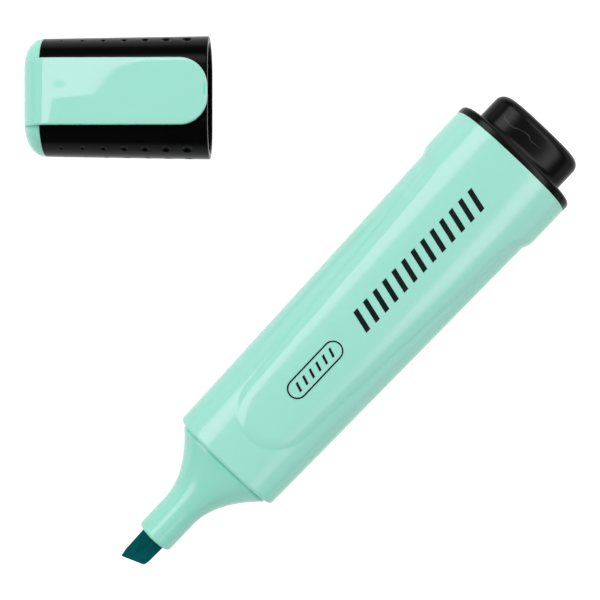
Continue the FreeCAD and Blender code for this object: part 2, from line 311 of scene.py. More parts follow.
# Softboxes: name, bearing, elevation, width, height, brightness and slide.
SOFTBOXES = (
    ("key_softbox", 98, 61.3, 1.35, 0.46, 3.9, 0.0),
    ("key_card", 98, 19.0, 1.35, 0.50, 0.65, 0.0),
    ("side_strip", -55, 64.9, 0.93, 0.25, 3.9, -0.235),
    ("side_strip_front", -55, 64.9, 0.47, 0.25, 1.45, 0.465),
    ("side_card", -55, 19.0, 1.4, 0.50, 0.75, 0.0),
    ("front_card", 178, 28.0, 0.9, 0.60, 0.25, 0.0),
    ("rear_card", 8, 28.0, 0.9, 0.60, 0.8, 0.0),
)


# --- outlines and lofts


def mix(low, high, share):
    """The value a share of the way from low to high."""
    return low + (high - low) * share


def smooth_step(share):
    """A share from 0 to 1 that starts and ends level."""
    inside = np.clip(share, 0.0, 1.0)
    return inside * inside * (3.0 - 2.0 * inside)


def flat_top_radius(angles, half_width, half_height):
    """Distance from the axis to a flat-topped outline with half-elliptical sides."""
    across = np.abs(np.cos(angles))
    upward = np.maximum(np.abs(np.sin(angles)), 1e-9)
    depth = half_height * SIDE_DEPTH_SHARE
    flat = half_width - depth
    on_top = half_height / upward
    square = (across / depth) ** 2 + (upward / half_height) ** 2
    linear = across * flat / depth**2
    rest = (flat / depth) ** 2 - 1.0
    on_side = (linear + np.sqrt(np.maximum(linear**2 - square * rest, 0.0))) / square
    return np.where(on_top * across <= flat, on_top, on_side)


def squared_radius(angles, half_width, half_height, squareness):
    """Distance from the axis to an ellipse that gets squarer as squareness rises above 2."""
    across = np.abs(np.cos(angles)) / half_width
    upward = np.abs(np.sin(angles)) / half_height
    return (across**squareness + upward**squareness) ** (-1.0 / squareness)


def body_radius(angles, half_width, half_height):
    """Distance from the axis to the crowned outline of the barrel, the collar and the plug."""
    return squared_radius(angles, half_width, half_height, BODY_SQUARENESS)


def even_angles(half_width, half_height, count):
    """Angles round the axis that space points evenly along a flat-topped outline."""
    fine = np.linspace(0.0, 2 * math.pi, 8001)
    radius = flat_top_radius(fine, half_width, half_height)
    points = np.stack((radius * np.cos(fine), radius * np.sin(fine)), axis=1)
    steps = np.linalg.norm(np.diff(points, axis=0), axis=1)
    travelled = np.concatenate(([0.0], np.cumsum(steps)))
    wanted = np.arange(count) * travelled[-1] / count
    return np.interp(wanted, travelled, fine)


def ring_at(x, radius, angles):
    """A closed ring of points round the axis at x."""
    along = np.full(len(angles), float(x)) if np.isscalar(x) else x
    return np.stack((along, radius * np.cos(angles), radius * np.sin(angles)), axis=1)


def rounded_corner(end, inward, rounding, steps=6, reach=None):
    """(x, inset) stations that round a convex edge up to its end.

    inward is the way back to the piece, and the edge comes in by reach, or by the rounding.
    """
    stations = []
    for step in range(steps + 1):
        angle = math.pi / 2 * step / steps
        x = end + inward * rounding * (1 - math.sin(angle))
        stations.append((x, (reach or rounding) * (1 - math.cos(angle))))
    return stations


def loft_faces(ring_count, size, wrap):
    """Quads between neighbouring rings of size points each."""
    starts = np.arange(ring_count if wrap else ring_count - 1)[:, None] * size
    next_starts = (starts + size) % (ring_count * size)
    here = np.arange(size)[None, :]
    beside = (here + 1) % size
    quads = np.stack((starts + here, starts + beside, next_starts + beside, next_starts + here), axis=2)
    return quads.reshape(-1, 4).tolist()


def loft_mesh(name, rings, wrap=False):
    """A closed mesh through rings. Its ends join each other if wrap, or else are capped."""
    size = len(rings[0])
    points = np.vstack(rings)
    faces = loft_faces(len(rings), size, wrap)
    if not wrap:
        ends = (rings[0].mean(axis=0), rings[-1].mean(axis=0))
        first = len(points)
        points = np.vstack((points, ends))
        last_ring = first - size
        for k in range(size):
            beside = (k + 1) % size
            faces.append((first, beside, k))
            faces.append((first + 1, last_ring + k, last_ring + beside))
    mesh = bpy.data.meshes.new(name)
    mesh.from_pydata((points * MM).tolist(), [], faces)
    return mesh


def tidy_mesh(mesh, sharp_degrees=38.0):
    """Point the faces outwards, and shade smooth except over sharp edges."""
    work = bmesh.new()
    work.from_mesh(mesh)
    bmesh.ops.remove_doubles(work, verts=work.verts, dist=1e-7)
    bmesh.ops.recalc_face_normals(work, faces=work.faces)
    work.to_mesh(mesh)
    work.free()
    mesh.shade_smooth()
    mesh.set_sharp_from_angle(angle=math.radians(sharp_degrees))


def new_piece(mesh, material, place=None):
    """A piece with its mesh's name, moved into the row frame, with its material."""
    piece = bpy.data.objects.new(mesh.name, mesh)
    bpy.context.scene.collection.objects.link(piece)
    if place is not None:
        mesh.transform(place)
    tidy_mesh(mesh)
    mesh.materials.append(material)
    return piece


def seat(piece, body, slot, *nodes):
    """Put a piece on a body and hide the CAD nodes that it stands for; slot is not used."""
    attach(piece, body)
    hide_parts(*nodes)


def set_painted_shade(mesh, values):
    """Store how deep each point's painted shade is, from 0 to 1, for the material."""
    layer = mesh.attributes.new("painted_shade", "FLOAT", "POINT")
    layer.data.foreach_set("value", np.asarray(values, np.float32))


# --- materials


def start_material(name):
    """A new node material and its node tree."""
    material = bpy.data.materials.new(name)
    material.use_nodes = True
    return material, material.node_tree


def feed(tree, socket, value):
    """Link a node's output to a socket, or set the socket to a plain value."""
    if isinstance(value, bpy.types.NodeSocket):
        tree.links.new(value, socket)
    else:
        socket.default_value = value


def add_node(tree, kind, inputs):
    """A new node with its inputs fed by name or number."""
    node = tree.nodes.new(kind)
    for name, value in inputs.items():
        feed(tree, node.inputs[name], value)
    return node


def shade(tree, inputs):
    """Feed the material's shader by the names of its inputs."""
    shader = tree.nodes["Principled BSDF"]
    for name, value in inputs.items():
        feed(tree, shader.inputs[name], value)


def object_space(tree):
    """The point's place in object space."""
    return tree.nodes.new("ShaderNodeTexCoord").outputs["Object"]


def add_noise(tree, scale, detail=3.0, stretch=(1, 1, 1)):
    """A noise texture in object space; scale is in cycles per metre."""
    mapping = add_node(tree, "ShaderNodeMapping", {"Vector": object_space(tree), "Scale": stretch})
    inputs = {"Vector": mapping.outputs["Vector"], "Scale": scale, "Detail": detail}
    return add_node(tree, "ShaderNodeTexNoise", inputs).outputs["Fac"]


def add_range(tree, source, low, high):
    """Map a 0 to 1 value to low to high."""
    inputs = {"Value": source, "To Min": low, "To Max": high}
    return add_node(tree, "ShaderNodeMapRange", inputs).outputs["Result"]


def add_band(tree, source, full, gone):
    """1 where a value is up to full, falling to 0 where it reaches gone."""
    inputs = {"Value": source, "From Min": full, "From Max": gone, "To Min": 1.0, "To Max": 0.0}
    return add_node(tree, "ShaderNodeMapRange", inputs).outputs["Result"]


def add_colour_mix(tree, share, first, second):
    """Mix two colours, or a colour output and a colour, by a share output."""
    blend = tree.nodes.new("ShaderNodeMix")
    blend.data_type = "RGBA"
    feed(tree, blend.inputs["Factor"], share)
    for name, value in (("A", first), ("B", second)):
        feed(tree, blend.inputs[name], (*value, 1.0) if isinstance(value, tuple) else value)
    return blend.outputs["Result"]


def add_bump(tree, *heights):
    """The normal bent by bumps: (height output, strength, distance in mm) each."""
    normal = None
    for height, strength, distance in heights:
        inputs = {"Height": height, "Strength": strength, "Distance": distance * MM}
        if normal:
            inputs["Normal"] = normal
        normal = add_node(tree, "ShaderNodeBump", inputs).outputs["Normal"]
    return normal


def add_oval(tree, centre, half_sizes):
    """1 inside a soft-edged oval in object space, seen from above, and 0 outside it."""
    mapping = tree.nodes.new("ShaderNodeMapping")
    mapping.vector_type = "TEXTURE"
    feed(tree, mapping.inputs["Vector"], object_space(tree))
    feed(tree, mapping.inputs["Location"], (*(Vector(centre) * MM), 0))
    feed(tree, mapping.inputs["Scale"], (*(Vector(half_sizes) * MM), 1))
    away = tree.nodes.new("ShaderNodeVectorMath")
    away.operation = "LENGTH"
    feed(tree, away.inputs[0], mapping.outputs["Vector"])
    return add_band(tree, away.outputs["Value"], OVAL_CORE, 1.0)


def add_maths(tree, operation, first, second):
    """One maths operation on an output and on another output or a number."""
    maths = add_node(tree, "ShaderNodeMath", {0: first, 1: second})
    maths.operation = operation
    return maths.outputs["Value"]


def add_scratch(tree):
    """A thin wandering scratch across the end plug's block, 1 on its line."""
    parts = add_node(tree, "ShaderNodeSeparateXYZ", {"Vector": object_space(tree)})
    wander = add_range(tree, add_noise(tree, 260.0, 2.0), SCRATCH_LOW * MM, SCRATCH_HIGH * MM)
    aside = add_maths(tree, "SUBTRACT", parts.outputs["X"], wander)
    aside = add_maths(tree, "ABSOLUTE", aside, 0.0)
    line = add_band(tree, aside, SCRATCH_CORE * MM, SCRATCH_EDGE * MM)
    middle = (mix(SCRATCH_LOW, SCRATCH_HIGH, 0.5), SCRATCH_MIDDLE)
    return add_maths(tree, "MULTIPLY", line, add_oval(tree, middle, SCRATCH_PATCH))


def camera_ray(tree):
    """1 for rays from the camera, and 0 for those that carry light."""
    return tree.nodes.new("ShaderNodeLightPath").outputs["Is Camera Ray"]


MINT_DARKEST = (0.330, 0.722, 0.602)
MINT_LIGHTEST = (0.352, 0.746, 0.625)
# Painted shade: the deeper, greener mint that creases and shaded places are tinted towards.
MINT_PAINTED_SHADE = (0.11, 0.66, 0.44)
MINT_SHEEN = (1.0, 0.62, 0.80, 1.0)


def mint_plastic(name, rough_low, rough_high, sink_strength):
    """Glossy pastel mint moulding, with painted shade that makes it deeper and greener in creases and
    wherever the mesh stores it.
    """
    material, tree = start_material(name)
    body = add_colour_mix(tree, add_noise(tree, 55.0), MINT_DARKEST, MINT_LIGHTEST)
    # The painted shade stored on the mesh, from 0 to 1, mixes the body towards the deeper green.
    painted_shade = tree.nodes.new("ShaderNodeAttribute")
    painted_shade.attribute_name = "painted_shade"
    sink = add_noise(tree, 90.0, 2.0)
    grain = add_noise(tree, 2600.0, 2.0)
    shade(tree, {
        "Base Color": add_colour_mix(tree, painted_shade.outputs["Fac"], body, MINT_PAINTED_SHADE),
        "Roughness": add_range(tree, add_noise(tree, 900.0, 4.0), rough_low, rough_high),
        "Specular Tint": MINT_SHEEN,
        "Subsurface Weight": 0.12,
        "Subsurface Radius": (0.6, 1.0, 0.9),
        "Subsurface Scale": 1.2 * MM,
        "Normal": add_bump(tree, (sink, sink_strength, 0.25), (grain, 0.02, 0.02)),
    })
    return material


def black_plastic(name, rough_low, rough_high, grain_strength, gloss, scratched=False):
    """Black moulded plastic with a fine grain, and with a scratch if it is scratched."""
    material, tree = start_material(name)
    cloud = add_noise(tree, 160.0)
    body = add_colour_mix(tree, cloud, (0.0006, 0.0006, 0.0007), (0.0016, 0.0016, 0.0018))
    if scratched:
        line = add_maths(tree, "MULTIPLY", add_scratch(tree), 0.6)
        body = add_colour_mix(tree, line, body, (0.06, 0.062, 0.06))
    shade(tree, {
        "Base Color": body,
        "Roughness": add_range(tree, add_noise(tree, 1400.0, 4.0), rough_low, rough_high),
        "Specular IOR Level": gloss,
        "Normal": add_bump(tree, (add_noise(tree, 4200.0, 2.0), grain_strength, 0.02)),
    })
    return material


def inked_felt():
    """Dark teal felt: fibres along the nib, soaked unevenly with ink."""
    material, tree = start_material("inked_felt")
    cloud = add_noise(tree, 420.0, 3.0)
    fibre = add_noise(tree, 1500.0, 5.0, (0.25, 1, 1))
    body = add_colour_mix(tree, cloud, (0.0, 0.040, 0.045), (0.0, 0.098, 0.106))
    strands = add_range(tree, fibre, -0.6, 0.9)
    shade(tree, {
        "Base Color": add_colour_mix(tree, strands, body, (0.0005, 0.105, 0.113)),
        "Roughness": 0.82,
        "Specular IOR Level": 0.04,
        "Normal": add_bump(tree, (fibre, 0.5, 0.12), (cloud, 0.3, 0.15)),
    })
    return material


def inked_fibre():
    """Ink-soaked fibre rod with long strands."""
    material, tree = start_material("inked_fibre")
    strands = add_noise(tree, 1800.0, 4.0, (0.06, 1, 1))
    shade(tree, {
        "Base Color": add_colour_mix(tree, strands, (0.03, 0.42, 0.38), (0.14, 0.66, 0.60)),
        "Roughness": 0.9,
        "Normal": add_bump(tree, (strands, 0.6, 0.1)),
    })
    return material


def clear_film():
    """Thin cloudy film round the reservoir."""
    material, tree = start_material("clear_film")
    cloud = add_noise(tree, 300.0)
    shade(tree, {
        "Base Color": add_colour_mix(tree, cloud, (0.70, 0.80, 0.78), (0.86, 0.92, 0.90)),
        "Roughness": add_range(tree, cloud, 0.15, 0.30),
        "Transmission Weight": 0.6,
        "Normal": add_bump(tree, (cloud, 0.2, 0.1)),
    })
    return material


def liner_plastic():
    """Waxy natural polyethylene."""
    material, tree = start_material("liner_plastic")
    cloud = add_noise(tree, 200.0)
    shade(tree, {
        "Base Color": add_colour_mix(tree, cloud, (0.74, 0.76, 0.73), (0.82, 0.83, 0.80)),
        "Roughness": add_range(tree, cloud, 0.40, 0.52),
        "Subsurface Weight": 0.2,
        "Subsurface Scale": 1.0 * MM,
        "Normal": add_bump(tree, (add_noise(tree, 3000.0), 0.1, 0.02)),
    })
    return material


def print_ink():
    """Black pad-printed ink with slightly uneven cover."""
    material, tree = start_material("print_ink")
    cover = add_noise(tree, 1200.0, 4.0)
    shade(tree, {
        "Base Color": add_colour_mix(tree, cover, (0.0015, 0.0045, 0.004), (0.004, 0.012, 0.010)),
        "Roughness": add_range(tree, cover, 0.35, 0.5),
        "Specular IOR Level": 0.1,
        "Normal": add_bump(tree, (cover, 0.1, 0.02)),
    })
    return material


def floor_paint():
    """Plain white floor that glows a little, which keeps shadows faint."""
    material, tree = start_material("floor_paint")
    cloud = add_noise(tree, 6.0)
    shade(tree, {
        "Base Color": add_colour_mix(tree, cloud, (0.31, 0.31, 0.31), (0.33, 0.33, 0.33)),
        "Roughness": 0.9,
        "Specular IOR Level": 0.0,
        "Emission Color": (1, 1, 1, 1),
        "Emission Strength": add_range(tree, camera_ray(tree), FLOOR_GLOW, FLOOR_GLOW_SEEN),
    })
    return material


# --- barrel


def straight_half_sizes(x):
    """Half width and half height of the straight taper at x, with no collar."""
    share = (x - BARREL_FRONT) / (COLLAR_START - BARREL_FRONT)
    return mix(FRONT_HALF_WIDTH, TAPER_HALF_WIDTH, share), BARREL_HALF_HEIGHT


def barrel_half_sizes(x):
    """Half width and half height of the barrel's outside at x, collar included."""
    half_width, half_height = straight_half_sizes(min(x, COLLAR_START))
    rise = COLLAR_RISE * float(smooth_step((x - COLLAR_START) / (COLLAR_END - COLLAR_START)))
    return half_width + rise, half_height + rise


def tongue_depth(x, across):
    """How far inside the tongue's edge a point of the broad face is."""
    lean = math.atan(TONGUE_SLOPE)
    beyond = x - (TONGUE_START + TONGUE_RADIUS)
    along_edge = beyond * math.cos(lean) + across * math.sin(lean)
    into_flare = (x - COLLAR_START + TONGUE_FLARE_LENGTH / 2) / TONGUE_FLARE_LENGTH
    flare = TONGUE_FLARE * smooth_step(into_flare) ** 2
    beside = TONGUE_RADIUS + flare - (across * math.cos(lean) - beyond * math.sin(lean))
    round_end = TONGUE_RADIUS - np.hypot(beyond, across)
    return np.where(along_edge > 0, beside, round_end)


def tongue_rise(x):
    """The tongue's full height at x, which grows until it is flush with the collar."""
    share = np.clip((x - TONGUE_START) / (COLLAR_END - TONGUE_START), 0.0, 1.0)
    return mix(TONGUE_RISE, COLLAR_RISE, share**TONGUE_RISE_POWER)


def tongue_height(x, across):
    """Height of the tongue above the barrel's plain surface: a crisp foot, a soft shoulder."""
    share = np.clip(tongue_depth(x, across) / TONGUE_SHOULDER, 0.0, 1.0)
    return tongue_rise(x) * (1.0 - (1.0 - share) ** 2)


def skin_ring(x, angles):
    """The barrel's outside at x, with the tongue standing out of both broad faces."""
    half_width, half_height = straight_half_sizes(min(x, COLLAR_START))
    ring = ring_at(x, body_radius(angles, half_width, half_height), angles)
    power = BODY_SQUARENESS - 1
    normal_y = np.sign(ring[:, 1]) * np.abs(ring[:, 1] / half_width) ** power / half_width
    normal_z = np.sign(ring[:, 2]) * np.abs(ring[:, 2] / half_height) ** power / half_height
    length = np.hypot(normal_y, normal_z)
    into_collar = (barrel_half_sizes(x)[1] - BARREL_HALF_HEIGHT) / COLLAR_RISE
    rise = mix(tongue_height(x, np.abs(ring[:, 1])), COLLAR_RISE, into_collar)
    ring[:, 1] += rise * normal_y / length
    ring[:, 2] += rise * normal_z / length
    return ring


def flare_ring(share, inset, angles):
    """The nose's outline from the round snout, share 0, to the lip, share 1."""
    growth = share**FLARE_POWER
    half_width = mix(SNOUT_RADIUS, LIP_HALF_WIDTH, growth) - inset
    half_height = mix(SNOUT_RADIUS, LIP_HALF_HEIGHT, growth) - inset
    radius = squared_radius(angles, half_width, half_height, mix(2.0, LIP_SQUARENESS, growth))
    return ring_at(mix(SNOUT_LENGTH, BARREL_FRONT - LIP_LENGTH, share), radius, angles)


def lip_ring(x, inset, angles):
    """The nose's widest outline, where the cap's wall slides over it."""
    radius = squared_radius(angles, LIP_HALF_WIDTH - inset, LIP_HALF_HEIGHT - inset, LIP_SQUARENESS)
    return ring_at(x, radius, angles)


def slot_ring(x, grow, angles):
    """The slot that holds the nib."""
    half_width = NIB_HALF_WIDTH + SLOT_GAP + grow
    half_height = NIB_HALF_THICKNESS + SLOT_GAP + grow
    return ring_at(x, squared_radius(angles, half_width, half_height, SLOT_SQUARENESS), angles)


def barrel_outside(angles):
    """Rings over the barrel's outside, from its rear edge to its front face."""
    rings = []
    for x, inset in reversed(rounded_corner(BARREL_REAR, -1, EDGE_BREAK, steps=3)):
        radius = body_radius(angles, COLLAR_HALF_WIDTH - inset, COLLAR_HALF_HEIGHT - inset)
        rings.append(ring_at(x, radius, angles))
    stop = BARREL_FRONT + FRONT_CORNER
    for x in np.arange(BARREL_REAR - REAR_EDGE_LENGTH, stop + RING_MARGIN, -BARREL_RING_GAP):
        rings.append(skin_ring(float(x), angles))
    half_width, half_height = barrel_half_sizes(stop)
    for x, inset in rounded_corner(BARREL_FRONT, 1, FRONT_CORNER, steps=8):
        radius = body_radius(angles, half_width - inset, half_height - inset)
        rings.append(ring_at(x, radius, angles))
    return rings


def nose_outside(front_face, angles):
    """Rings from the barrel's front face over the lip, the flare and the snout."""
    rings = []
    foot = lip_ring(BARREL_FRONT, 0.0, angles)
    for share in STEP_SHARES:
        rings.append(mix(front_face, foot, share))
    rings.append(foot)
    front = BARREL_FRONT - LIP_LENGTH
    for x in (mix(front, BARREL_FRONT, 0.5), front + LIP_EDGE):
        rings.append(lip_ring(x, 0.0, angles))
    for step in range(FLARE_STEPS):
        rings.append(flare_ring(1.0 - (step + FLARE_FIRST_STEP) / FLARE_STEPS, 0.0, angles))
    for x in np.arange(SNOUT_LENGTH, SNOUT_ROUNDING, -SNOUT_RING_GAP):
        away = abs(float(x) - SNOUT_LINE_AT)
        groove = SNOUT_LINE_DEPTH * max(0.0, 1.0 - away / SNOUT_LINE_HALF)
        rings.append(ring_at(float(x), np.full(len(angles), SNOUT_RADIUS - groove), angles))
    for x, inset in rounded_corner(0.0, 1, SNOUT_ROUNDING, steps=8):
        rings.append(ring_at(x, np.full(len(angles), SNOUT_RADIUS - inset), angles))
    return rings


def barrel_inside(angles):
    """Rings from the nib slot back through the nose and the reservoir's room."""
    rings = [slot_ring(0.0, SLOT_CHAMFER, angles), slot_ring(SLOT_CHAMFER, 0.0, angles)]
    for x in SLOT_PLACES:
        rings.append(slot_ring(x, 0.0, angles))
    for step in range(2, INNER_FLARE_STEPS + 1):
        rings.append(flare_ring(step / INNER_FLARE_STEPS, NOSE_WALL, angles))
    inner_face = BARREL_FRONT + BARREL_WALL
    rings.append(lip_ring(inner_face, NOSE_WALL, angles))
    for x in np.linspace(inner_face, BARREL_REAR, 12):
        half_width, half_height = straight_half_sizes(float(x))
        radius = flat_top_radius(angles, half_width - BARREL_WALL, half_height - BARREL_WALL)
        rings.append(ring_at(float(x), radius, angles))
    return rings


def barrel_painted_shade(points):
    """Painted shade: deepest in the step behind the nose; faint at the tongue's foot, sides and nose.
    """
    x, y, z = points.T
    spread = np.abs(y)
    lip = squared_radius(np.arctan2(z, y), LIP_HALF_WIDTH, LIP_HALF_HEIGHT, LIP_SQUARENESS)
    step_away = np.hypot(x - BARREL_FRONT, np.abs(np.hypot(y, z) - lip))
    # Painted shade in the crease of the step, along the tongue's foot, on the sides and on the nose.
    step = np.exp(-((step_away / STEP_REACH) ** 2))
    foot = FOOT_SHADE * np.exp(-((tongue_depth(x, spread) / LINE_REACH) ** 2))
    foot *= smooth_step((COLLAR_START - x) / FOOT_FADE) * (np.abs(z) > BROAD_FACE_FROM)
    to_side = (spread / TAPER_HALF_WIDTH - SIDE_SHARE_START) / SIDE_SHARE_LENGTH
    side = SIDE_SHADE * smooth_step(to_side)
    side *= 1.0 - smooth_step(x / SIDE_FADE)
    nose = NOSE_SHADE * (x < BARREL_FRONT)
    return np.maximum(np.maximum(step, foot), np.maximum(side, nose))


def build_barrel(material):
    """Body, collar, tongue, nose and snout in one moulding, hollow inside."""
    middle_half_width = mix(FRONT_HALF_WIDTH, TAPER_HALF_WIDTH, 0.5)
    angles = even_angles(middle_half_width, BARREL_HALF_HEIGHT, BARREL_AROUND)
    rings = barrel_outside(angles)
    rings += nose_outside(rings[-1], angles)
    slot_edge = slot_ring(0.0, SLOT_CHAMFER, angles)
    rings.append(mix(rings[-1], slot_edge, 0.5))
    rings += barrel_inside(angles)
    mesh = loft_mesh("barrel_body", rings, wrap=True)
    set_painted_shade(mesh, barrel_painted_shade(np.vstack(rings)))
    piece = new_piece(mesh, material)
    seat(piece, "pen", "mint_plastic", "barrel")


# --- nib


def strip_outline(half_width, floor, ceiling, edge, flats=20, turns=5, uprights=3):
    """A rounded rectangle across an axis: (across, up) points, with level flats."""
    corners = (
        (half_width - edge, ceiling - edge, 0.0),
        (edge - half_width, ceiling - edge, 0.5),
        (edge - half_width, floor + edge, 1.0),
        (half_width - edge, floor + edge, 1.5),
    )
    points = []
    counts = (flats, uprights, flats, uprights)
    for corner, (across, up, start) in enumerate(corners):
        for step in range(turns + 1):
            angle = math.pi * (start + 0.5 * step / turns)
            points.append((across + edge * math.cos(angle), up + edge * math.sin(angle)))
        following = corners[(corner + 1) % 4]
        angle = math.pi * following[2]
        first = points[-1]
        last = (following[0] + edge * math.cos(angle), following[1] + edge * math.sin(angle))
        for step in range(1, counts[corner]):
            share = step / counts[corner]
            points.append((mix(first[0], last[0], share), mix(first[1], last[1], share)))
    return np.array(points)


def nib_ring(x, slant, inset):
    """The felt bar's outline at x, leaning towards its long corner by slant."""
    share = min(max(x / NIB_TIP, 0.0), 1.0)
    half_width = mix(NIB_HALF_WIDTH, NIB_TIP_HALF_WIDTH, share)
    half_width -= NIB_KNOCK * max(0.0, (NIB_TIP + NIB_KNOCK_LENGTH - x) / NIB_KNOCK_LENGTH)
    half = NIB_HALF_THICKNESS - inset
    outline = strip_outline(half_width - inset, -half, half, NIB_CORNER)
    lean = slant * NIB_SLANT * (half_width - outline[:, 0]) / (2 * half_width)
    return np.stack((x + lean, outline[:, 0], outline[:, 1]), axis=1)


def build_nib(material):
    """The felt bar, with its slanted tip and its worn edge."""
    rings = []
    for x, inset in reversed(rounded_corner(NIB_TIP, 1, NIB_EDGE)):
        rings.append(nib_ring(x, 1.0, inset))
    for step in range(1, NIB_SLANT_STEPS + 1):
        share = step / NIB_SLANT_STEPS
        rings.append(nib_ring(mix(NIB_TIP + NIB_EDGE, NIB_SLANT_END, share), 1.0 - share, 0.0))
    for x in np.linspace(NIB_STRAIGHT_FROM, NIB_REAR, 20):
        rings.append(nib_ring(float(x), 0.0, 0.0))
    piece = new_piece(loft_mesh("nib_felt", rings), material)
    seat(piece, "pen", "inked_felt", "nib")


# --- end plug


def build_end_plug(material):
    """Block, flange, the spigot inside the barrel and the stop behind the reservoir."""
    angles = even_angles(COLLAR_HALF_WIDTH, COLLAR_HALF_HEIGHT, PLUG_AROUND)

    def block(x, inset):
        radius = body_radius(angles, BLOCK_HALF_WIDTH - inset, BLOCK_HALF_HEIGHT - inset)
        return ring_at(x, radius, angles)

    def flange(x, inset):
        radius = body_radius(angles, COLLAR_HALF_WIDTH - inset, COLLAR_HALF_HEIGHT - inset)
        return ring_at(x, radius, angles)

    def spigot(x, inset):
        half_width, half_height = straight_half_sizes(BARREL_REAR - SPIGOT_LENGTH)
        inset += BARREL_WALL + PLUG_GAP
        return ring_at(x, flat_top_radius(angles, half_width - inset, half_height - inset), angles)

    def stop(x, radius):
        return ring_at(x, np.full(len(angles), radius), angles)

    rings = [block(BLOCK_END, inset) for inset in BLOCK_FACE_INSETS]
    for x, inset in reversed(rounded_corner(BLOCK_END, -1, BLOCK_ROUNDING, steps=10)):
        rings.append(block(x, inset))
    for share in np.linspace(BLOCK_SIDE_FROM, 1.0, 8):
        into_fillet = max(0.0, (share - BLOCK_FILLET_FROM) / (1.0 - BLOCK_FILLET_FROM))
        x = mix(BLOCK_END - BLOCK_ROUNDING, FLANGE_END, float(share))
        rings.append(block(x, -BLOCK_FILLET * into_fillet**2))
    rings.append(mix(rings[-1], flange(FLANGE_END, FLANGE_ROUNDING), 0.5))
    for x, inset in reversed(rounded_corner(FLANGE_END, -1, FLANGE_ROUNDING, steps=8)):
        rings.append(flange(x, inset))
    start = BARREL_REAR - SPIGOT_LENGTH
    rings += [
        flange(BARREL_REAR + FLANGE_CHAMFER, 0.0),
        flange(BARREL_REAR, FLANGE_CHAMFER),
        spigot(BARREL_REAR, 0.0),
        spigot(mix(start, BARREL_REAR, 0.5), 0.0),
        spigot(start + SPIGOT_CHAMFER, 0.0),
        spigot(start, SPIGOT_CHAMFER),
        spigot(start, SPIGOT_WALL),
        spigot(BARREL_REAR, SPIGOT_WALL),
        stop(BARREL_REAR, STOP_RADIUS),
        stop(STOP_START, STOP_RADIUS),
        stop(STOP_START, STOP_RADIUS - STOP_WALL),
        stop(BARREL_REAR, STOP_RADIUS - STOP_WALL),
    ]
    piece = new_piece(loft_mesh("plug_body", rings), material)
    seat(piece, "pen", "black_satin", "end_plug")


# --- cap


def find_cap_place():
    """The cap's own frame in the row frame, from the clip's hinge and the cap's bore."""
    bore = Vector(joint_of["cap_slide"]["axis"]).normalized()
    closed = Vector(joint_of["clip_flex"]["pos_m"]) - bore * CAP_END_LENGTH * MM
    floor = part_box("cap_shell")[0].z
    turn = Matrix.Rotation(math.atan2(bore.y, bore.x), 4, "Z")
    return Matrix.Translation((closed.x, closed.y, floor + CAP_MOUTH_HALF_HEIGHT * MM)) @ turn


cap_place = find_cap_place()


def cap_half_sizes(x):
    """Half width and half height of the cap's outside at x from its closed end."""
    share = x / CAP_LENGTH
    half_width = mix(CAP_CLOSED_HALF_WIDTH, CAP_MOUTH_HALF_WIDTH, share)
    return half_width, mix(CAP_CLOSED_HALF_HEIGHT, CAP_MOUTH_HALF_HEIGHT, share)


def cap_ring(x, inset, angles):
    """The cap's outline at x, drawn in by inset."""
    half_width, half_height = cap_half_sizes(x)
    return ring_at(x, flat_top_radius(angles, half_width - inset, half_height - inset), angles)


def dimple_places():
    """(centre, outward direction, rim radius) of every dimple, in the cap's frame."""
    places = []
    for column in range(DIMPLE_COUNT):
        x = DIMPLE_FIRST + DIMPLE_PITCH * column
        rim = mix(DIMPLE_SMALLEST, DIMPLE_LARGEST, column / (DIMPLE_COUNT - 1))
        half_width, half_height = cap_half_sizes(x)
        depth = half_height * SIDE_DEPTH_SHARE
        for side in (1, -1):
            for row_angle in DIMPLE_ROW_ANGLES:
                angle = math.radians(row_angle)
                across = side * (half_width - depth + depth * math.cos(angle))
                centre = np.array((x, across, half_height * math.sin(angle)))
                outward = np.array((0, side * math.cos(angle) / depth, math.sin(angle) / half_height))
                places.append((centre, outward / np.linalg.norm(outward), rim))
    return places


def press_dimples(points):
    """Push the points of a surface in where a dimple is."""
    for centre, outward, rim in dimple_places():
        away = np.linalg.norm(points - centre, axis=1)
        near = away < rim
        push = DIMPLE_DEPTH_SHARE * rim * (1.0 - (away[near] / rim) ** 2)
        points[near] -= push[:, None] * outward


def build_cap_shell(material):
    """The open sleeve, with its dimples pressed into the narrow sides."""
    angles = even_angles(CAP_MOUTH_HALF_WIDTH, CAP_MOUTH_HALF_HEIGHT, CAP_AROUND)
    rings = []
    for x, inset in reversed(rounded_corner(CAP_END_LENGTH, 1, EDGE_BREAK, steps=3)):
        rings.append(cap_ring(x, inset, angles))
    first = CAP_END_LENGTH + CAP_END_MARGIN
    places = np.arange(first, CAP_LENGTH - MOUTH_MARGIN, CAP_RING_GAP)
    outside = [cap_ring(float(x), 0.0, angles) for x in places]
    surface = np.vstack(outside)
    press_dimples(surface)
    rings += list(surface.reshape(len(outside), -1, 3))
    for x, inset in rounded_corner(CAP_LENGTH, -1, MOUTH_ROUNDING, steps=5):
        rings.append(cap_ring(x, inset, angles))
    rings.append(cap_ring(CAP_LENGTH, CAP_WALL - MOUTH_CHAMFER, angles))
    rings.append(cap_ring(CAP_LENGTH - MOUTH_CHAMFER, CAP_WALL, angles))
    for x in np.linspace(CAP_LENGTH - CAP_INSIDE_START, CAP_END_LENGTH, 14):
        rings.append(cap_ring(float(x), CAP_WALL, angles))
    piece = new_piece(loft_mesh("cap_sleeve", rings, wrap=True), material, cap_place)
    seat(piece, "cap", "black_plastic", "cap_shell")


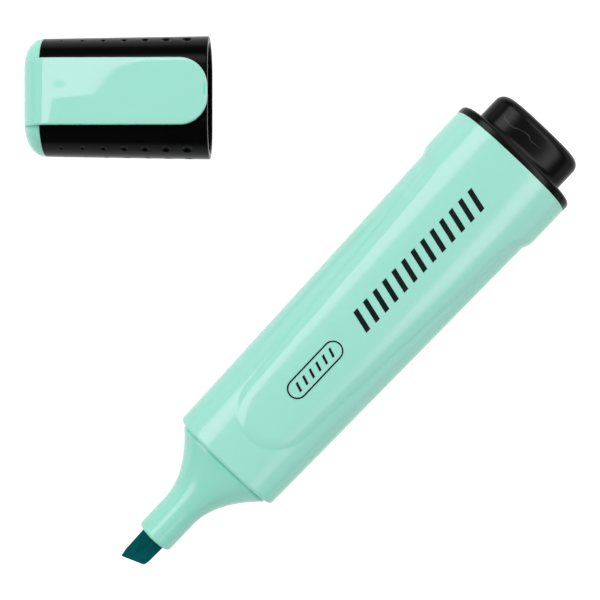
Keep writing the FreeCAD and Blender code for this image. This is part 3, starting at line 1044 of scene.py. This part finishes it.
def cap_button_mesh():
    """The rounded closed end."""
    angles = even_angles(CAP_CLOSED_HALF_WIDTH, CAP_CLOSED_HALF_HEIGHT, BUTTON_AROUND)
    rings = [cap_ring(0.0, inset, angles) for inset in CAP_END_FACE_INSETS]
    for x, inset in reversed(rounded_corner(0.0, 1, CAP_END_ROUNDING, steps=14, reach=CAP_END_INSET)):
        rings.append(cap_ring(x, inset, angles))
    rings += [
        cap_ring(CAP_END_LENGTH - CAP_END_CHAMFER, 0.0, angles),
        cap_ring(CAP_END_LENGTH, CAP_END_CHAMFER, angles),
        cap_ring(CAP_END_LENGTH, CAP_END_BACK_INSET, angles),
    ]
    return loft_mesh("button", rings)


def clip_level(x):
    """Height of the clip's upper face, which bends down over its root."""
    level = cap_half_sizes(x)[1] + CLIP_GAP + CLIP_THICKNESS
    share = min(max((CLIP_BEND_END - x) / CLIP_BEND_LENGTH, 0.0), 1.0)
    return level - CLIP_BEND_DROP * (1.0 - math.sqrt(1.0 - share * share))


def clip_floor(x):
    """Height of the clip's lower face, which fills down into the closed end at its root."""
    level = cap_half_sizes(x)[1] + CLIP_GAP
    return mix(CLIP_ROOT_FLOOR, level, float(smooth_step((x - CLIP_FLOOR_START) / CLIP_FLOOR_LENGTH)))


def clip_half_width(x):
    """Half width of the clip, which closes in over its rounded free end."""
    into_corner = x - (CLIP_END - CLIP_CORNER)
    if into_corner <= 0:
        return CLIP_HALF_WIDTH
    reach = math.sqrt(max(CLIP_CORNER**2 - into_corner**2, 0.0))
    return CLIP_HALF_WIDTH - CLIP_CORNER + reach


def clip_ring(x, inset):
    """The clip's outline at x, drawn in by inset, with its upper face crowned."""
    half_width = clip_half_width(x) - inset
    level = clip_level(x) - inset
    outline = strip_outline(half_width, clip_floor(x) + inset, level, CLIP_EDGE, flats=36, uprights=4)
    upper = outline[:, 1] > level - CLIP_EDGE
    outline[upper, 1] -= CLIP_CROWN * (outline[upper, 0] / half_width) ** CLIP_CROWN_POWER
    beyond = np.maximum(-CLIP_FALL_FROM - outline[upper, 0], 0.0)
    outline[upper, 1] -= CLIP_FALL * beyond**2 / (beyond + CLIP_FALL_SOFTNESS)
    return np.stack((np.full(len(outline), x), outline[:, 0], outline[:, 1]), axis=1)


def clip_mesh():
    """The clip with its root, as one bar along the cap."""
    rings = []
    for x, inset in reversed(rounded_corner(CLIP_ROOT_START, 1, CLIP_ROOT_CHAMFER, steps=4)):
        rings.append(clip_ring(x, inset))
    first = CLIP_ROOT_START + CLIP_ROOT_CHAMFER
    for share in np.linspace(CLIP_BEND_FIRST, 1.0, 26):
        rings.append(clip_ring(mix(first, CLIP_BEND_END, float(share)), 0.0))
    corner_start = CLIP_END - CLIP_CORNER
    for x in np.linspace(CLIP_BEND_END + CLIP_BAR_GAP, corner_start, 40):
        rings.append(clip_ring(float(x), 0.0))
    last = CLIP_EDGE * CLIP_LAST_SHARE
    for step in range(1, CLIP_END_STEPS + 1):
        angle = math.pi / 2 * step / CLIP_END_STEPS
        x = corner_start + (CLIP_CORNER - last) * math.sin(angle)
        rings.append(clip_ring(x, 0.0))
    for step in range(1, 6):
        turn = math.pi / 2 * step / 5
        x = CLIP_END - last + last * math.sin(turn)
        inset = last * CLIP_LAST_RISE * (1 - math.cos(turn))
        rings.append(clip_ring(min(x, CLIP_END - CLIP_TIP_GAP), inset))
    return loft_mesh("clip", rings)


def joined(mesh, other):
    """One closed mesh from two that overlap."""
    tidy_mesh(mesh)
    tidy_mesh(other)
    base = bpy.data.objects.new("base", mesh)
    tool = bpy.data.objects.new("tool", other)
    for part in (base, tool):
        bpy.context.scene.collection.objects.link(part)
    union = base.modifiers.new("union", "BOOLEAN")
    union.operation = "UNION"
    union.solver = "EXACT"
    union.object = tool
    bpy.context.view_layer.update()
    shape = base.evaluated_get(bpy.context.evaluated_depsgraph_get())
    result = bpy.data.meshes.new_from_object(shape)
    for part in (base, tool):
        bpy.data.objects.remove(part)
    return result


def oval_mark(points, mark):
    """1 in the middle of an oval of painted shade on the clip, falling to 0 at its edge."""
    middle_x, middle_y, half_length, half_width = mark
    away = np.hypot((points[:, 0] - middle_x) / half_length, (points[:, 1] - middle_y) / half_width)
    return smooth_step((MARK_EDGE - away) / MARK_SOFTNESS)


def clip_painted_shade(mesh):
    """Painted shade: deepest between root and closed end and in the moulding marks, faint on the closed
    end.
    """
    points = np.array([vertex.co for vertex in mesh.vertices]) / MM
    x, y, z = points.T
    beside_root = np.abs(np.abs(y) - CLIP_HALF_WIDTH)
    on_root = (x < CAP_END_LENGTH) * (z > ROOT_FOOT)
    notch = NOTCH_SHADE * np.exp(-((beside_root / LINE_REACH) ** 2)) * on_root
    # Painted shade in the notch by the root, on the closed end and in the two moulding marks.
    sink = SINK_SHADE * oval_mark(points, SINK_MARK)
    gate = GATE_SHADE * oval_mark(points, GATE_MARK)
    end = END_SHADE * smooth_step(CAP_END_LENGTH + END_FADE - x)
    return np.maximum(np.maximum(notch, end), np.maximum(sink, gate))


def build_cap_end_and_clip(material):
    """Closed end, root and clip in one moulding, the clip curving down over its root."""
    mesh = joined(cap_button_mesh(), clip_mesh())
    mesh.name = "cap_end_and_clip"
    set_painted_shade(mesh, clip_painted_shade(mesh))
    piece = new_piece(mesh, material, cap_place)
    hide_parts("cap_end", "pocket_clip")
    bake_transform(piece)


def build_cap_socket(material):
    """The ring that holds the closed end in the sleeve, and the liner's socket inside it."""
    angles = even_angles(CAP_CLOSED_HALF_WIDTH, CAP_CLOSED_HALF_HEIGHT, SOCKET_AROUND)
    outer = CAP_WALL + PLUG_GAP
    inner = outer + SPIGOT_WALL
    floor = CAP_END_LENGTH + SOCKET_WALL
    bore = np.full(len(angles), LINER_OUTSIDE + SOCKET_GAP)
    rings = [
        cap_ring(CAP_END_LENGTH, outer, angles),
        cap_ring(CAP_SPIGOT_END - SPIGOT_CHAMFER, outer, angles),
        cap_ring(CAP_SPIGOT_END, outer + SPIGOT_CHAMFER, angles),
        cap_ring(CAP_SPIGOT_END, inner, angles),
        cap_ring(floor, inner, angles),
        ring_at(floor, bore + SOCKET_WALL, angles),
        ring_at(CAP_SPIGOT_END, bore + SOCKET_WALL, angles),
        ring_at(CAP_SPIGOT_END, bore, angles),
        ring_at(CAP_END_LENGTH, bore, angles),
    ]
    piece = new_piece(loft_mesh("cap_socket", rings, wrap=True), material, cap_place)
    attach(piece, "cap")


# --- printing


def print_prism(outline, top):
    """Points and faces of a thin upright prism over a convex outline."""
    count = len(outline)
    points = [(x, y, top - PRINT_HEIGHT) for x, y in outline]
    points += [(x, y, top + PRINT_HEIGHT) for x, y in outline]
    faces = [tuple(range(count - 1, -1, -1)), tuple(range(count, 2 * count))]
    for k in range(count):
        beside = (k + 1) % count
        faces.append((k, beside, count + beside, count + k))
    return points, faces


def print_band(outer, inner, top):
    """Points and faces of a thin closed band between two outlines."""
    count = len(outer)
    points = []
    for outline, level in ((outer, -1), (inner, -1), (inner, 1), (outer, 1)):
        points += [(x, y, top + level * PRINT_HEIGHT) for x, y in outline]
    faces = []
    for ring in range(4):
        here = ring * count
        following = (ring + 1) % 4 * count
        for k in range(count):
            beside = (k + 1) % count
            faces.append((here + k, here + beside, following + beside, following + k))
    return points, faces


def capsule_outline(start, end, radius, steps=24):
    """A capsule along X."""
    outline = []
    for centre, first in ((end - radius, -0.5), (start + radius, 0.5)):
        for step in range(steps + 1):
            angle = math.pi * (first + step / steps)
            outline.append((centre + radius * math.cos(angle), radius * math.sin(angle)))
    return outline


def slanted_bar(middle, half_length, half_height, lean):
    """A bar across the pen that leans forward, with a flat top and foot."""
    return [
        (middle - half_length - lean, -half_height),
        (middle + half_length - lean, -half_height),
        (middle + half_length + lean, half_height),
        (middle - half_length + lean, half_height),
    ]


def build_print(material):
    """Generic marks in place of lettering: an outlined capsule and a row of slanted bars."""
    top = BARREL_HALF_HEIGHT + float(tongue_rise(CAPSULE_END))
    outer = capsule_outline(CAPSULE_START, CAPSULE_END, CAPSULE_HALF_WIDTH)
    inner_half_width = CAPSULE_HALF_WIDTH - CAPSULE_LINE
    inner = capsule_outline(CAPSULE_START + CAPSULE_LINE, CAPSULE_END - CAPSULE_LINE, inner_half_width)
    shapes = [print_band(outer, inner, top)]
    low = CAPSULE_START + STROKE_MARGIN
    high = CAPSULE_END - STROKE_MARGIN
    for number in range(STROKE_COUNT):
        middle = mix(low, high, number / (STROKE_COUNT - 1))
        stroke = slanted_bar(middle, STROKE_HALF_LENGTH, STROKE_HALF_HEIGHT, STROKE_LEAN)
        shapes.append(print_prism(stroke, top))
    for number in range(BAR_COUNT):
        middle = mix(BARS_START + BAR_MARGIN, BARS_END - BAR_MARGIN, number / (BAR_COUNT - 1))
        top = BARREL_HALF_HEIGHT + float(tongue_rise(middle))
        bar = slanted_bar(middle, BAR_HALF_LENGTH, BAR_HALF_HEIGHT, BAR_LEAN)
        shapes.append(print_prism(bar, top))
    points = []
    faces = []
    for shape_points, shape_faces in shapes:
        first = len(points)
        points += shape_points
        faces += [tuple(first + k for k in face) for face in shape_faces]
    mesh = bpy.data.meshes.new("printed_marks")
    mesh.from_pydata((np.array(points) * MM).tolist(), [], faces)
    piece = new_piece(mesh, material)
    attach(piece, "pen")


# --- studio


def build_floor():
    """A plain pale floor under the pen."""
    mesh = bpy.data.meshes.new("floor")
    level = cad_box[0][2]
    signs = ((-1, -1), (1, -1), (1, 1), (-1, 1))
    corners = [(x * FLOOR_REACH, y * FLOOR_REACH, level) for x, y in signs]
    mesh.from_pydata(corners, [], [(0, 1, 2, 3)])
    floor = bpy.data.objects.new("floor", mesh)
    bpy.context.scene.collection.objects.link(floor)
    mesh.materials.append(floor_paint())


def add_softbox(name, bearing, elevation, width, height, brightness, slide):
    """An area light aimed at the pen from a bearing and an elevation in degrees.

    The bearing turns from +X, seen from above. slide then moves the light level and sideways.
    """
    light = bpy.data.lights.new(name, "AREA")
    light.shape = "RECTANGLE"
    light.size = width
    light.size_y = height
    light.energy = brightness * math.pi * width * height
    lamp = bpy.data.objects.new(name, light)
    bpy.context.scene.collection.objects.link(lamp)
    bearing = math.radians(bearing)
    rise = math.radians(elevation)
    flat = LIGHT_DISTANCE * math.cos(rise)
    height_above = LIGHT_DISTANCE * math.sin(rise)
    away = Vector((flat * math.cos(bearing), flat * math.sin(bearing), height_above))
    lamp.rotation_euler = (-away).to_track_quat("-Z", "Y").to_euler()
    target = Vector((*VIEW_CENTRE, 0)) * MM
    sideways = Vector((math.sin(bearing), -math.cos(bearing), 0))
    lamp.location = target + away + slide * sideways


def build_light():
    """Long softboxes with a dark gap overhead, low cards and a dim room that looks white."""
    world = bpy.data.worlds.new("studio")
    bpy.context.scene.world = world
    world.use_nodes = True
    tree = world.node_tree
    background = tree.nodes["Background"]
    background.inputs["Color"].default_value = (1, 1, 1, 1)
    feed(tree, background.inputs["Strength"], add_range(tree, camera_ray(tree), ROOM_LIGHT, 1.0))
    for softbox in SOFTBOXES:
        add_softbox(*softbox)


def build_camera():
    """Straight down on the pen, turned so that it runs up to the right."""
    camera = bpy.data.cameras.new("camera")
    camera.sensor_width = SENSOR
    camera.lens = SENSOR * VIEW_DISTANCE / VIEW_WIDTH
    camera.clip_start = 0.01
    eye = bpy.data.objects.new("camera", camera)
    bpy.context.scene.collection.objects.link(eye)
    eye.location = Vector((*VIEW_CENTRE, VIEW_DISTANCE)) * MM
    eye.rotation_euler = (0, 0, VIEW_TURN)
    bpy.context.scene.camera = eye


# --- put together


def cover_node(node, material):
    """Give a CAD node its procedural material."""
    mesh = frame["nodes"][node].data
    mesh.materials.clear()
    mesh.materials.append(material)


build_barrel(mint_plastic("mint_plastic", 0.14, 0.18, 0.07))
build_nib(inked_felt())
build_end_plug(black_plastic("black_satin", 0.20, 0.27, 0.09, 0.17, scratched=True))
build_cap_shell(black_plastic("black_plastic", 0.18, 0.26, 0.06, 0.07))
cap_mint = mint_plastic("cap_mint", 0.03, 0.05, 0.02)
build_cap_end_and_clip(cap_mint)
build_cap_socket(cap_mint)
build_print(print_ink())
cover_node("ink_reservoir", inked_fibre())
cover_node("reservoir_wrap", clear_film())
cover_node("cap_liner", liner_plastic())
build_floor()
build_light()
build_camera()
bpy.context.scene.view_settings.view_transform = "Standard"
